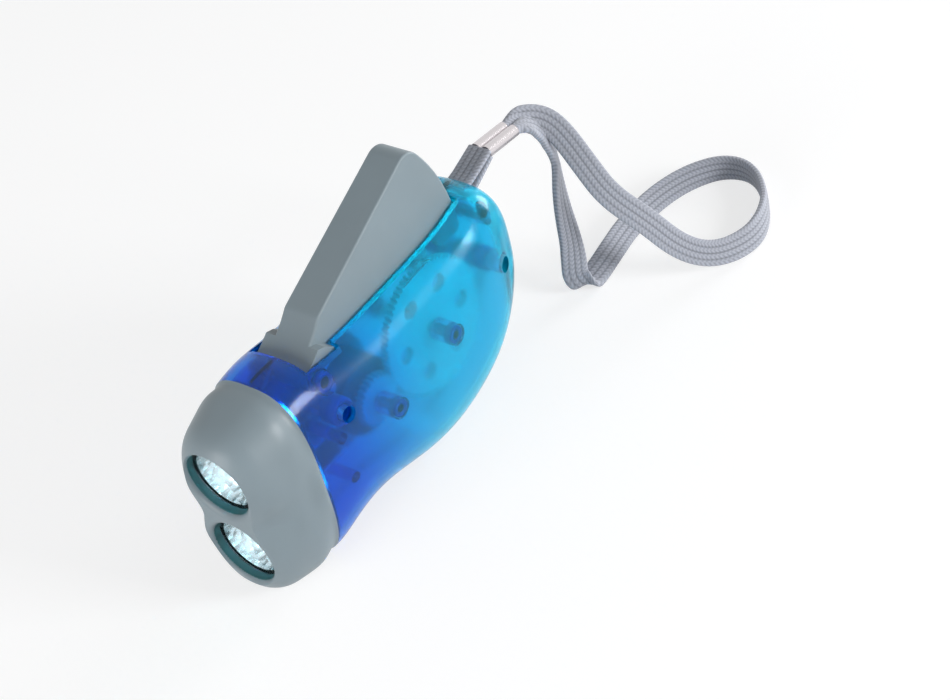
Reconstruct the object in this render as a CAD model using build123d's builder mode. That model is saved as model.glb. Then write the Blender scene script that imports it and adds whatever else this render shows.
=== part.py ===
"""Squeeze-lever dynamo flashlight: grey twin-lamp head, clear blue case in two halves, grey hinged lever,
gear train, magnet rotor and coil, and a braided wrist strap. Millimetres.

Frame: the torch stands on its finger side at Z = 0, the lever is on top (+Z) and the beam points to -Y.
"""

import os
from math import acos, atan2, cos, degrees, exp, pi, radians, sin, tan

from build123d import *

os.makedirs("parts", exist_ok=True)

# ---------------------------------------------------------------- driving dimensions
RIM = -33.75  # Y of the plane where the grey head meets the blue case
MID = 26.6  # height of the case's middle line above the floor
WALL = 1.8  # wall of the case and of the head

# Sections of the case, from the rim to the tail: distance behind the rim, top, bottom (both from MID), half width.
CASE = [
    (0.0, 27.7, -26.0, 15.4),
    (8.0, 28.0, -24.6, 15.9),
    (16.0, 26.6, -22.6, 16.5),
    (24.0, 25.5, -22.9, 17.0),
    (34.0, 25.3, -25.2, 17.4),
    (46.0, 25.5, -26.75, 17.6),
    (58.0, 25.9, -25.0, 17.5),
    (68.0, 27.0, -20.8, 17.1),
    (76.0, 28.6, -14.8, 15.8),
    (81.0, 27.6, -9.3, 14.0),
    (84.5, 24.5, -4.0, 11.8),
    (86.5, 19.5, 2.0, 8.5),
]
CASE_POWER = 3.0  # squareness of a case section
SPIGOT = (27.3, -26.0, 15.4, CASE_POWER)  # section of the neck that the head slides over

# Sections of the head, from the rim forward: distance in front of the rim, top, bottom, half width,
# squareness and the depth of the waist between the two lamps.
HEAD = [
    (0.0, 27.7, -26.0, 15.4, 3.0, 0.0),
    (4.0, 27.4, -26.65, 15.5, 2.9, 0.1),
    (8.0, 26.8, -26.8, 15.3, 2.8, 0.5),
    (12.0, 26.0, -26.4, 14.8, 2.6, 1.6),
    (15.0, 25.0, -25.5, 14.1, 2.5, 2.8),
    (17.2, 23.5, -24.0, 12.8, 2.4, 3.0),
    (18.5, 21.9, -22.4, 11.4, 2.35, 2.8),
    (19.0, 21.0, -21.5, 10.9, 2.35, 2.7),
]
WAIST_REACH = 5.5  # how far up and down the waist is felt
FRONT = RIM - 19.0  # the head's flat front rim

LAMP_PITCH = 22.84  # between the two lamp centres
LAMP_R = 9.2  # openings in the head
LAMP_HEIGHTS = [MID - 0.1 + LAMP_PITCH / 2, MID - 0.1 - LAMP_PITCH / 2]
LENS_FACE = RIM - 15.9  # front of the clear lens, behind the openings

# Lever
PIVOT = (RIM + 13.0, MID + 21.3)  # Y, Z of the lever's hinge
LEVER_HALF = 5.65  # half the lever's width
LEVER_REACH = 61.8  # hinge to the lever's curved tail
LEVER_WALL = 1.5
LEVER_DRAFT = 1.3  # degrees that each side leans in towards the grip face
STROKE = 22.0  # degrees of squeeze
PIN_R = 1.5
KNUCKLE_R = 3.4  # the lever's round root, hollow for the hinge spring
SPRING_R = 2.6  # outer radius of the hinge spring
EAR_HALF = 8.2  # half width across the two ears that widen the lever's root
SPRING_WIRE = 0.35  # half the thickness of its wire
SPRING_LEGS = [(2.6, 40.0, 11.0), (-2.6, -150.0, 7.0)]  # place across the torch, direction and length of each leg
SLOT_HALF = 6.6  # half width of the slot that the lever sinks into

# Gear train. Rack and drive pinion share one module, main gear and rotor gear the other.
RACK_MODULE, RACK_TEETH, DRIVE_TEETH = 0.6, 158, 12
GEAR_MODULE, MAIN_TEETH, ROTOR_TEETH = 0.5, 72, 26
RACK_R = RACK_MODULE * RACK_TEETH / 2
DRIVE_R = RACK_MODULE * DRIVE_TEETH / 2
MAIN_R = GEAR_MODULE * MAIN_TEETH / 2
ROTOR_R = GEAR_MODULE * ROTOR_TEETH / 2
MESH_A = -23.0  # direction from the hinge to the main axle
MESH_B = 188.6  # direction from the main axle to the rotor axle
AXLE_A = (
    PIVOT[0] + (RACK_R - DRIVE_R) * cos(radians(MESH_A)),
    PIVOT[1] + (RACK_R - DRIVE_R) * sin(radians(MESH_A)),
)
AXLE_B = (
    AXLE_A[0] + (MAIN_R + ROTOR_R) * cos(radians(MESH_B)),
    AXLE_A[1] + (MAIN_R + ROTOR_R) * sin(radians(MESH_B)),
)
AXLE_R = 1.0
AXLE_HALF = 15.2  # half length of both gear axles
RUNNING = 0.05  # radial clearance of a turning bore
GEAR_X = (6.6, 8.6)  # the main gear's faces

# Dynamo
MAGNET_R = 10.0
AIR_GAP = 0.6
CORE_HALF = 3.5  # half thickness of the stator core

# Fastenings
SCREWS = [(RIM + 13.4, MID + 12.4), (RIM + 77.0, MID + 7.9)]
STRAP_PIN = (RIM + 78.4, MID + 21.6)

# Strap
STRAP_R = 1.45  # radius of the plain tube that stands for the flat braid
BARREL_PITCH = 3.3  # between the ferrule's two barrels
BARREL_R = 1.7
FERRULE = [(RIM + 94.4, 53.5), (RIM + 106.2, 51.9)]  # Y, Z of both ends of the ferrule's axis


# ---------------------------------------------------------------- helpers
def place(behind_rim, above_mid):
    """(Y, Z) of a point given from the rim plane and the middle line."""
    return (RIM + behind_rim, MID + above_mid)


def polar(centre, radius, angle):
    """(Y, Z) at that radius and angle in degrees from a centre, 0 along +Y."""
    return (
        centre[0] + radius * cos(radians(angle)),
        centre[1] + radius * sin(radians(angle)),
    )


def section(y, top, bottom, half, power, waist=None, inset=0.0):
    """A rounded section of the torch in the plane at Y, drawn in by inset and pinched by waist at mid height."""
    top, bottom, half = top - inset, bottom + inset, half - inset
    count = 28 if waist is None else 44
    points = []
    for step in range(count):
        turn = 2 * pi * step / count
        reach = (abs(cos(turn)) ** power + abs(sin(turn)) ** power) ** (-1 / power)
        z = (top + bottom) / 2 + (top - bottom) / 2 * reach * sin(turn)
        x = half * reach * cos(turn)
        x -= (waist or 0) * exp(-((z / WAIST_REACH) ** 2)) * max(-1, min(1, 3 * cos(turn)))
        points.append((x, MID + z))
    with BuildSketch(Plane.XZ.offset(-y), mode=Mode.PRIVATE) as sketch:
        with BuildLine():
            Spline(*points, periodic=True)
        make_face()
    return sketch.sketch


def case_solid(inset, first=0.0):
    """The whole case as one solid, drawn in by inset; first moves its front end behind the rim."""
    sections = []
    for index, (back, top, bottom, half) in enumerate(CASE):
        back = first if index == 0 else back - (inset if index > 8 else 0)
        sections.append(section(RIM + back, top, bottom, half, CASE_POWER, None, inset))
    with BuildPart() as solid:
        loft(sections)
        split(bisect_by=Plane.XY, keep=Keep.TOP)
    return solid.part


def bar_x(centre, radius, low, high):
    """A round bar along X from low to high, round a (Y, Z) centre."""
    with BuildPart() as bar:
        with BuildSketch(Plane.YZ.offset(low)):
            with Locations(centre):
                Circle(radius)
        extrude(amount=high - low)
    return bar.part


def bar_y(x, z, radius, low, high):
    """A round bar along Y from low to high."""
    with BuildPart() as bar:
        with BuildSketch(Plane.XZ.offset(-low)):
            with Locations((x, z)):
                Circle(radius)
        extrude(amount=low - high)
    return bar.part


def block(low, high):
    """A box between two corners."""
    with BuildPart() as solid:
        with Locations(tuple((a + b) / 2 for a, b in zip(low, high))):
            Box(*[b - a for a, b in zip(low, high)])
    return solid.part


def plate_x(outline, low, high):
    """A flat plate across X from low to high with a straight-edged (Y, Z) outline."""
    with BuildPart() as plate:
        with BuildSketch(Plane.YZ.offset(low)):
            with BuildLine():
                Polyline(*outline, close=True)
            make_face()
        extrude(amount=high - low)
    return plate.part


def half_tooth(radius, module, teeth, slack):
    """Half the angle, in radians, that an involute tooth thinned by slack fills at that radius."""
    pitch = module * teeth / 2
    base = pitch * cos(radians(20))

    def roll(r):
        lean = acos(min(1.0, base / r))
        return tan(lean) - lean

    return pi / (2 * teeth) + roll(pitch) - roll(radius) - slack / (2 * pitch)


def gear_points(centre, module, teeth, mesh, space_at_mesh, slack=0.12):
    """The toothed outline of a gear, with a tooth, or a space, on the direction mesh."""
    pitch = module * teeth / 2
    tip, root = pitch + 0.7 * module, pitch - 1.0 * module
    start = mesh + (180 / teeth if space_at_mesh else 0)
    points = []
    for tooth in range(teeth):
        middle = start + 360 * tooth / teeth
        for side, radius in ((-1, root), (-1, tip), (1, tip), (1, root)):
            lean = degrees(half_tooth(radius, module, teeth, slack))
            points.append(polar(centre, radius, middle + side * lean))
    return points


def gear_plate(centre, module, teeth, mesh, space_at_mesh, low, high):
    return plate_x(gear_points(centre, module, teeth, mesh, space_at_mesh), low, high)


# ---------------------------------------------------------------- case halves
case_outer = case_solid(0.0)
case_inner = case_solid(WALL, first=-1.0)


def case_half(side):
    """One half of the blue case. side is +1 for the half on +X and -1 for the other."""

    def span(near, far):
        return (near, far) if side > 0 else (-far, -near)

    with BuildPart() as inside:
        for centre, radius, start in (
            (PIVOT, 3.0, 8.6),
            (AXLE_A, 2.9, 9.6 if side > 0 else 6.5),
            (AXLE_B, 2.9, 9.4 if side > 0 else 10.3),
            (SCREWS[0], 3.0, 0.0),
            (SCREWS[1], 2.6, 0.0),
            (place(10.0, 7.0), 1.5, CORE_HALF),
            (place(10.0, -6.0), 1.5, CORE_HALF),
            (STRAP_PIN, 2.4, 4.0),
        ):
            add(bar_x(centre, radius, *span(start, 20.0)))
        add(case_outer, mode=Mode.INTERSECT)
    with BuildPart() as half:
        add(case_outer)
        add(case_inner, mode=Mode.SUBTRACT)
        add(block((-9.3, RIM + 10.6, MID + 16.5), (9.3, RIM + 22.6, 80)), mode=Mode.SUBTRACT)
        add(
            block((-SLOT_HALF, RIM + 22.0, MID + 16.5), (SLOT_HALF, RIM + 75.4, 80)),
            mode=Mode.SUBTRACT,
        )
        add(block((-4.1, RIM + 80.0, MID + 18.2), (4.1, RIM + 90, MID + 24.6)), mode=Mode.SUBTRACT)
        add(inside.part)
        add(spigot())
        add(bar_x(AXLE_A, 18.9, *span(6.0, 9.3)), mode=Mode.SUBTRACT)
        for centre, radius in (
            (PIVOT, PIN_R),
            (AXLE_A, AXLE_R),
            (AXLE_B, AXLE_R),
            (STRAP_PIN, 1.2),
        ):
            reach = {PIVOT: 11.0, AXLE_A: AXLE_HALF, AXLE_B: AXLE_HALF, STRAP_PIN: 10.5}[centre]
            add(bar_x(centre, radius, -reach, reach), mode=Mode.SUBTRACT)
        split(bisect_by=Plane.YZ, keep=Keep.TOP if side > 0 else Keep.BOTTOM)
    return half.part


def rim_sleeve(inset, low, high):
    """A straight plug with the rim's section, drawn in by inset, between two distances behind the rim."""
    with BuildPart() as sleeve:
        loft([section(RIM + y, *SPIGOT, None, inset) for y in (low, high)])
    return sleeve.part


def spigot():
    """The thin neck of the case that the head slides over, rooted in the case wall."""
    with BuildPart() as neck:
        add(rim_sleeve(WALL + 0.2, -3.0, 1.5))
        add(rim_sleeve(WALL - 0.5, 0.3, 1.5))
        add(rim_sleeve(WALL + 1.35, -3.5, 2.0), mode=Mode.SUBTRACT)
    return neck.part


with BuildPart() as shell_near:
    add(case_half(1))
    for centre in SCREWS:
        add(bar_x(centre, 2.1, 9.0, 20.0), mode=Mode.SUBTRACT)
        add(bar_x(centre, 1.1, -1.0, 20.0), mode=Mode.SUBTRACT)
shell_near.part.label = "shell_near"
export_step(shell_near.part, "parts/shell_near.step")

with BuildPart() as shell_far:
    add(case_half(-1))
    for centre in SCREWS:
        add(bar_x(centre, 1.1, -9.0, 1.0), mode=Mode.SUBTRACT)
shell_far.part.label = "shell_far"
export_step(shell_far.part, "parts/shell_far.step")

# ---------------------------------------------------------------- head, lens, reflectors and lamps
def lip_at(height):
    """The rounding of an opening's front edge, as the ring that is cut away."""
    soft = 1.7
    with BuildPart() as ring:
        with BuildSketch(Plane.YZ):
            with BuildLine():
                Polyline((FRONT - 1, height), (FRONT - 1, height + LAMP_R + soft), (FRONT, height + LAMP_R + soft))
                RadiusArc((FRONT, height + LAMP_R + soft), (FRONT + soft, height + LAMP_R), -soft)
                Polyline((FRONT + soft, height + LAMP_R), (FRONT + soft, height), (FRONT - 1, height))
            make_face()
        revolve(axis=Axis((0, 0, height), (0, 1, 0)))
    return ring.part


with BuildPart() as head:
    loft([section(RIM - y, t, b, h, p, w) for y, t, b, h, p, w in HEAD])
    split(bisect_by=Plane.XY, keep=Keep.TOP)
    for z in LAMP_HEIGHTS:
        add(bar_y(0, z, LAMP_R, FRONT - 1, RIM), mode=Mode.SUBTRACT)
        add(lip_at(z), mode=Mode.SUBTRACT)
    hollow = [
        section(y, t, b, h, p, w, WALL)
        for y, t, b, h, p, w in [(RIM + 1.0, *HEAD[0][1:])]
        + [(RIM - y, t, b, h, p, w) for y, t, b, h, p, w in HEAD[:4]]
        + [(LENS_FACE, 24.7, -25.2, 13.9, 2.5, 2.6)]
    ]
    loft(hollow, mode=Mode.SUBTRACT)
head.part.label = "head"
export_step(head.part, "parts/head.step")

with BuildPart() as lens:
    for z in LAMP_HEIGHTS:
        add(bar_y(0, z, 10.0, LENS_FACE, LENS_FACE + 1.5))
    add(block((-4.0, LENS_FACE, MID - 3.5), (4.0, LENS_FACE + 1.5, MID + 3.3)))
lens.part.label = "lens"
export_step(lens.part, "parts/lens.step")


def reflector_at(height):
    """A silvered cup behind the lens, open at its neck for the lamp."""
    y = LENS_FACE + 1.5
    with BuildPart() as cup:
        with BuildSketch(Plane.XY.offset(height)):
            with BuildLine():
                Polyline((2.8, y + 7.6), (4.2, y + 5.8), (6.4, y + 3.2), (8.4, y), (9.8, y))
                Polyline((9.8, y), (9.8, y + 0.8), (8.7, y + 0.8), (7.0, y + 3.6))
                Polyline((7.0, y + 3.6), (4.8, y + 6.3), (3.5, y + 8.4), (2.8, y + 8.4), (2.8, y + 7.6))
            make_face()
        revolve(axis=Axis((0, 0, height), (0, 1, 0)))
    return cup.part


with BuildPart() as reflector_upper:
    add(reflector_at(LAMP_HEIGHTS[0]))
reflector_upper.part.label = "reflector_upper"
export_step(reflector_upper.part, "parts/reflector_upper.step")

with BuildPart() as reflector_lower:
    add(reflector_at(LAMP_HEIGHTS[1]))
reflector_lower.part.label = "reflector_lower"
export_step(reflector_lower.part, "parts/reflector_lower.step")

LAMP_BASE = RIM - 3.5


def lamp_at(height):
    """A 5 mm light-emitting diode, dome forward."""
    with BuildPart() as lamp:
        add(bar_y(0, height, 2.9, LAMP_BASE - 1.0, LAMP_BASE))
        add(bar_y(0, height, 2.5, LAMP_BASE - 5.6, LAMP_BASE - 1.0))
        with Locations((0, LAMP_BASE - 5.6, height)):
            Sphere(2.5)
    return lamp.part


with BuildPart() as led_upper:
    add(lamp_at(LAMP_HEIGHTS[0]))
led_upper.part.label = "led_upper"
export_step(led_upper.part, "parts/led_upper.step")

with BuildPart() as led_lower:
    add(lamp_at(LAMP_HEIGHTS[1]))
led_lower.part.label = "led_lower"
export_step(led_lower.part, "parts/led_lower.step")

BOARD = (RIM + 1.5, RIM + 3.1)

with BuildPart() as led_leads:
    for z in LAMP_HEIGHTS:
        for side in (-1, 1):
            add(bar_y(0, z + side * 1.27, 0.25, LAMP_BASE, BOARD[0]))
led_leads.part.label = "led_leads"
export_step(led_leads.part, "parts/led_leads.step")

with BuildPart() as circuit_board:
    with BuildSketch(Plane.XZ.offset(-BOARD[0])):
        with Locations((0, MID + 0.5)):
            RectangleRounded(21.0, 38.0, 3.0)
    extrude(amount=BOARD[0] - BOARD[1])
circuit_board.part.label = "circuit_board"
export_step(circuit_board.part, "parts/circuit_board.step")

with BuildPart() as board_parts:
    for x in (-6.5, 6.5):
        for z in (MID + 8.0, MID + 1.0):
            add(block((x - 1.2, BOARD[1], z - 2.2), (x + 1.2, BOARD[1] + 1.6, z + 2.2)))
    add(bar_y(0, MID - 13.0, 2.5, BOARD[1], BOARD[1] + 5.0))
board_parts.part.label = "board_parts"
export_step(board_parts.part, "parts/board_parts.step")

# ---------------------------------------------------------------- lever
BEND = place(22.3, 32.05)  # where the steep root turns into the long grip face
ROOT_LIP = place(11.7, 24.4)  # front lower edge of the root, just behind the case's front lip
TIP = place(65.55, 50.85)
TAIL = polar(PIVOT, LEVER_REACH, -3.0)


def lever_outline(inset):
    """The lever's side outline, a slice of a disc round the hinge, as a sketch drawn in by inset."""
    with BuildSketch(mode=Mode.PRIVATE) as outline:
        with BuildLine():
            Line(place(11.7, 20.0), ROOT_LIP)
            ThreePointArc(ROOT_LIP, place(17.2, 27.5), BEND)
            Line(BEND, TIP)
            ThreePointArc(TIP, polar(PIVOT, LEVER_REACH, 12.0), TAIL)
            Polyline(TAIL, place(66.5, 18.6), place(63.4, 23.75), place(20.0, 21.64), place(12.6, 19.0))
            Line(place(12.6, 19.0), place(11.7, 20.0))
        make_face()
        bend = outline.vertices().sort_by_distance((*BEND, 0))[0]
        fillet(bend, 3.0)
        tip = outline.vertices().sort_by_distance((*TIP, 0))[0]
        fillet(tip, 5.0)
        tail = outline.vertices().sort_by_distance((*TAIL, 0))[0]
        fillet(tail, 2.5)
        if inset:
            offset(amount=-inset)
    return outline.sketch_local


def spring_leg(x, angle, reach, around=0.0):
    """A straight leg of the hinge spring, square in section and thicker by around on every side."""
    begin = polar(PIVOT, SPRING_R - 0.45, angle - 90)
    heel = polar(begin, -around, angle)
    end = polar(begin, reach, angle)
    corners = [polar(point, side * (SPRING_WIRE + around), angle + 90) for point, side in (
        (heel, -1), (end, -1), (end, 1), (heel, 1)
    )]
    return plate_x(corners, x - SPRING_WIRE - around, x + SPRING_WIRE + around)


def lever_ears():
    """The root's widening to both sides, flush with its front face and low enough to turn in the notch."""
    top = [place(16.6, 27.4), place(19.2, 26.5), place(22.0, 24.2), place(21.0, 20.4)]
    with BuildPart() as ears:
        with BuildSketch(Plane.YZ.offset(-EAR_HALF)):
            add(lever_outline(0))
        extrude(amount=2 * EAR_HALF)
        add(plate_x([place(9.0, 17.0), place(9.0, 29.0), *top, place(15.0, 17.9)], -9.0, 9.0), mode=Mode.INTERSECT)
        for side in (-1, 1):
            add(bar_x(PIVOT, 3.2, *sorted((side * LEVER_HALF, side * EAR_HALF))))
    return ears.part


with BuildPart() as lever:
    with BuildSketch(Plane.YZ.offset(-LEVER_HALF)):
        add(lever_outline(0))
    extrude(amount=2 * LEVER_HALF)
    draft(lever.faces().filter_by(Axis.X), Plane.XY.offset(MID + 20), LEVER_DRAFT)
    grip = lever.faces().sort_by(Axis.X)
    fillet(grip[0].edges() + grip[-1].edges(), 0.6)
    add(bar_x(PIVOT, KNUCKLE_R, -LEVER_HALF, LEVER_HALF))
    add(lever_ears())
    for drop in (0.0, -3.0):
        with BuildSketch(Plane.YZ.offset(LEVER_WALL - LEVER_HALF)):
            with Locations((0, drop)):
                add(lever_outline(LEVER_WALL))
        extrude(amount=2 * (LEVER_HALF - LEVER_WALL), mode=Mode.SUBTRACT)
    for side in (-1, 1):
        add(bar_x(PIVOT, KNUCKLE_R, *sorted((side * 3.4, side * (LEVER_HALF + 0.5)))))
    add(bar_x(PIVOT, KNUCKLE_R - 0.6, -3.4, 3.4), mode=Mode.SUBTRACT)
    for x, angle, reach in SPRING_LEGS:
        add(spring_leg(x, angle, reach + 1.0, 1.0), mode=Mode.SUBTRACT)
    add(bar_x(PIVOT, PIN_R + RUNNING, -20, 20), mode=Mode.SUBTRACT)
lever.part.label = "lever"
export_step(lever.part, "parts/lever.step")


def rack_outline():
    """The toothed inner edge and the smooth outer edge of the curved rack."""
    tip, root = RACK_R - 0.7 * RACK_MODULE, RACK_R + 1.0 * RACK_MODULE
    step = 360 / RACK_TEETH
    points = []
    for space in range(-2, 12):
        middle = MESH_A + step * space
        for side, radius in ((-1, tip), (-1, root), (1, root), (1, tip)):
            lean = degrees(half_tooth(radius, RACK_MODULE, RACK_TEETH, -0.12))
            points.append(polar(PIVOT, radius, middle + side * lean))
    return points


with BuildPart() as sector_rack:
    teeth = rack_outline()
    last = MESH_A + 360 / RACK_TEETH * 11.8
    first = MESH_A - 360 / RACK_TEETH * 2.6
    back = RACK_R + 4.1
    edge = [polar(PIVOT, back, last - (last - first) * n / 12) for n in range(13)]
    add(plate_x([*teeth, *edge], -2.2, 2.2))
    foot = [polar(PIVOT, r, a) for r, a in ((50.2, 0.5), (50.2, 12.0), (60.2, 12.0), (60.2, 5.0))]
    add(plate_x(foot, LEVER_WALL - LEVER_HALF, LEVER_HALF - LEVER_WALL))
sector_rack.part.label = "sector_rack"
export_step(sector_rack.part, "parts/sector_rack.step")

with BuildPart() as lever_spring:
    add(bar_x(PIVOT, SPRING_R, -3.0, 3.0))
    add(bar_x(PIVOT, SPRING_R - 0.9, -4.0, 4.0), mode=Mode.SUBTRACT)
    for x, angle, reach in SPRING_LEGS:
        add(spring_leg(x, angle, reach))
lever_spring.part.label = "lever_spring"
export_step(lever_spring.part, "parts/lever_spring.step")

with BuildPart() as lever_pin:
    add(bar_x(PIVOT, PIN_R, -11.0, 11.0))
lever_pin.part.label = "lever_pin"
export_step(lever_pin.part, "parts/lever_pin.step")

# ---------------------------------------------------------------- gear train
with BuildPart() as drive_pinion:
    add(gear_plate(AXLE_A, RACK_MODULE, DRIVE_TEETH, MESH_A, False, -2.6, 2.6))
    add(bar_x(AXLE_A, 2.0, -6.2, 7.5))
    ratchet = []
    for tooth in range(8):
        ratchet += [polar(AXLE_A, 5.0, 45 * tooth), polar(AXLE_A, 3.9, 45 * tooth + 2)]
        ratchet += [polar(AXLE_A, 4.6, 45 * tooth + 30)]
    add(plate_x(ratchet, 6.5, 7.4))
    add(bar_x(AXLE_A, AXLE_R + RUNNING, -20, 20), mode=Mode.SUBTRACT)
drive_pinion.part.label = "drive_pinion"
export_step(drive_pinion.part, "parts/drive_pinion.step")

with BuildPart() as main_gear:
    add(gear_plate(AXLE_A, GEAR_MODULE, MAIN_TEETH, MESH_B, False, *GEAR_X))
    add(bar_x(AXLE_A, 7.4, 6.0, 7.6), mode=Mode.SUBTRACT)
    add(bar_x(AXLE_A, 2.4, 7.6, 9.4))
    with BuildSketch(Plane.YZ.offset(6.0)):
        with Locations(AXLE_A):
            with PolarLocations(11.4, 6):
                Circle(2.4)
    extrude(amount=4.0, mode=Mode.SUBTRACT)
    add(bar_x(AXLE_A, AXLE_R + RUNNING, -20, 20), mode=Mode.SUBTRACT)
main_gear.part.label = "main_gear"
export_step(main_gear.part, "parts/main_gear.step")

with BuildPart() as clutch_pawls:
    for turn in (20.0, 200.0):
        arm = ((7.38, 0), (7.38, 6), (7.38, 12), (7.38, 18), (6.9, 28), (6.0, 52), (5.15, 60), (5.5, 50), (6.4, 18), (6.4, 0))
        add(plate_x([polar(AXLE_A, radius, turn + angle) for radius, angle in arm], 6.7, 7.5))
clutch_pawls.part.label = "clutch_pawls"
export_step(clutch_pawls.part, "parts/clutch_pawls.step")

with BuildPart() as main_axle:
    add(bar_x(AXLE_A, AXLE_R, -AXLE_HALF, AXLE_HALF))
main_axle.part.label = "main_axle"
export_step(main_axle.part, "parts/main_axle.step")

# ---------------------------------------------------------------- dynamo
with BuildPart() as rotor_gear:
    add(gear_plate(AXLE_B, GEAR_MODULE, ROTOR_TEETH, MESH_B - 180, True, GEAR_X[0] - 0.2, GEAR_X[1] + 0.2))
    add(bar_x(AXLE_B, 3.0, -10.0, 6.6))
    add(bar_x(AXLE_B, AXLE_R + RUNNING, -20, 20), mode=Mode.SUBTRACT)
rotor_gear.part.label = "rotor_gear"
export_step(rotor_gear.part, "parts/rotor_gear.step")

with BuildPart() as rotor_magnet:
    add(bar_x(AXLE_B, MAGNET_R, -5.0, 5.0))
    add(bar_x(AXLE_B, 3.0, -6.0, 6.0), mode=Mode.SUBTRACT)
rotor_magnet.part.label = "rotor_magnet"
export_step(rotor_magnet.part, "parts/rotor_magnet.step")

with BuildPart() as flywheel:
    add(bar_x(AXLE_B, 13.0, -9.9, -6.5))
    add(bar_x(AXLE_B, 3.0, -10.5, -6.0), mode=Mode.SUBTRACT)
flywheel.part.label = "flywheel"
export_step(flywheel.part, "parts/flywheel.step")

with BuildPart() as rotor_axle:
    add(bar_x(AXLE_B, AXLE_R, -AXLE_HALF, AXLE_HALF))
rotor_axle.part.label = "rotor_axle"
export_step(rotor_axle.part, "parts/rotor_axle.step")

CORE_MID = AXLE_B[1]

with BuildPart() as stator_core:
    add(block((-CORE_HALF, RIM + 8.0, CORE_MID - 8.5), (CORE_HALF, RIM + 24.0, CORE_MID + 8.5)))
    add(
        block((-9, RIM + 12.0, CORE_MID - 4.5), (9, RIM + 30.0, CORE_MID + 4.5)), mode=Mode.SUBTRACT
    )
    add(bar_x(AXLE_B, MAGNET_R + AIR_GAP, -9, 9), mode=Mode.SUBTRACT)
stator_core.part.label = "stator_core"
export_step(stator_core.part, "parts/stator_core.step")


def around_limb(margin_y, margin_x, low, high):
    """A block round the core's back limb, with those margins."""
    return block(
        (-CORE_HALF - margin_x, RIM + 8.0 - margin_y, low),
        (CORE_HALF + margin_x, RIM + 12.0 + margin_y, high),
    )


with BuildPart() as coil_bobbin:
    add(around_limb(0.9, 0.9, CORE_MID - 4.4, CORE_MID + 4.4))
    add(around_limb(3.3, 4.2, CORE_MID - 4.4, CORE_MID - 3.6))
    add(around_limb(3.3, 4.2, CORE_MID + 3.6, CORE_MID + 4.4))
    add(around_limb(0.0, 0.0, -10, 90), mode=Mode.SUBTRACT)
coil_bobbin.part.label = "coil_bobbin"
export_step(coil_bobbin.part, "parts/coil_bobbin.step")

with BuildPart() as coil:
    add(around_limb(3.0, 3.9, CORE_MID - 3.6, CORE_MID + 3.6))
    corners = coil.edges().filter_by(Axis.Z)
    fillet(corners, 2.4)
    add(around_limb(0.9, 0.9, -10, 90), mode=Mode.SUBTRACT)
coil.part.label = "coil"
export_step(coil.part, "parts/coil.step")

# ---------------------------------------------------------------- screws and strap pin
with BuildPart() as case_screws:
    for centre in SCREWS:
        add(bar_x(centre, 1.1, -8.0, 9.0))
        add(bar_x(centre, 2.0, 9.0, 10.6))
        for turn in (0, 90):
            with Locations((10.6, *centre)):
                Box(1.4, 2.6, 0.6, rotation=(turn, 0, 0), mode=Mode.SUBTRACT)
case_screws.part.label = "case_screws"
export_step(case_screws.part, "parts/case_screws.step")

with BuildPart() as strap_pin:
    add(bar_x(STRAP_PIN, 1.2, -10.5, 10.5))
strap_pin.part.label = "strap_pin"
export_step(strap_pin.part, "parts/strap_pin.step")

# ---------------------------------------------------------------- strap
def ferrule_face(half):
    """The ends of a line that long on each side of the ferrule's axis, across its front face."""
    (y, z), (y_end, z_end) = FERRULE
    lean = atan2(z_end - z, y_end - y)
    return [(y - side * half * sin(lean), z + side * half * cos(lean)) for side in (1, -1)]


with BuildPart() as strap_loop:
    y, z = STRAP_PIN
    with BuildSketch(Plane.YZ.offset(-3.5)):
        with Locations(STRAP_PIN):
            Circle(2.7)
        with BuildLine():
            Polyline((y + 0.3, z + 2.68), (y + 8.0, z + 2.9), *ferrule_face(1.6))
            Polyline(ferrule_face(1.6)[1], (y + 8.6, z - 0.6), (y - 0.3, z - 2.68), (y + 0.3, z + 2.68))
        make_face()
    extrude(amount=7.0)
    add(bar_x(STRAP_PIN, 1.2, -5, 5), mode=Mode.SUBTRACT)
strap_loop.part.label = "strap_loop"
export_step(strap_loop.part, "parts/strap_loop.step")

with BuildPart() as ferrule:
    (y, z), (y_end, z_end) = FERRULE
    with BuildSketch(Plane(origin=(0, y, z), x_dir=(1, 0, 0), z_dir=(0, y_end - y, z_end - z))):
        with Locations((-BARREL_PITCH / 2, 0), (BARREL_PITCH / 2, 0)):
            Circle(BARREL_R)
    extrude(amount=Vector(0, y_end - y, z_end - z).length)
ferrule.part.label = "ferrule"
export_step(ferrule.part, "parts/ferrule.step")

# The wrist loop leaves the near barrel, drops to the floor, runs back along it on its edge, turns round
# and climbs to the far barrel. Distances are behind the rim, heights above the floor.
STRAP_ROUTE = [
    (1.65, 106.2, 51.9),
    (1.65, 108.9, 51.53),
    (2.5, 112.8, 49),
    (3.5, 115.3, 43.3),
    (4.7, 115.6, 36.7),
    (5.3, 113.5, 29),
    (6.1, 112.1, 21.1),
    (7.6, 110.8, 12.6),
    (9.3, 108.3, 8.4),
    (10.7, 105.8, 4.8),
    (12.5, 108.4, 1.6),
    (12.9, 113.6, 2.7),
    (12.3, 120.5, 3.4),
    (11, 131, 3.6),
    (11.7, 144.2, 3.6),
    (15.6, 155.2, 3.7),
    (22.5, 162.9, 3.7),
    (32, 163.2, 3.7),
    (41.7, 153.6, 3.7),
    (46, 142.3, 3.7),
    (43.9, 133.3, 3.8),
    (39.3, 126.8, 5.3),
    (34.1, 122.1, 10.5),
    (28.3, 118.3, 20.5),
    (20.3, 115.1, 29.1),
    (13.9, 116.1, 36.8),
    (8.5, 117.3, 42.8),
    (4.1, 117.5, 47),
    (0.8, 115.4, 49.5),
    (-1.65, 110.2, 51.35),
    (-1.65, 106.2, 51.9),
]


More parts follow.
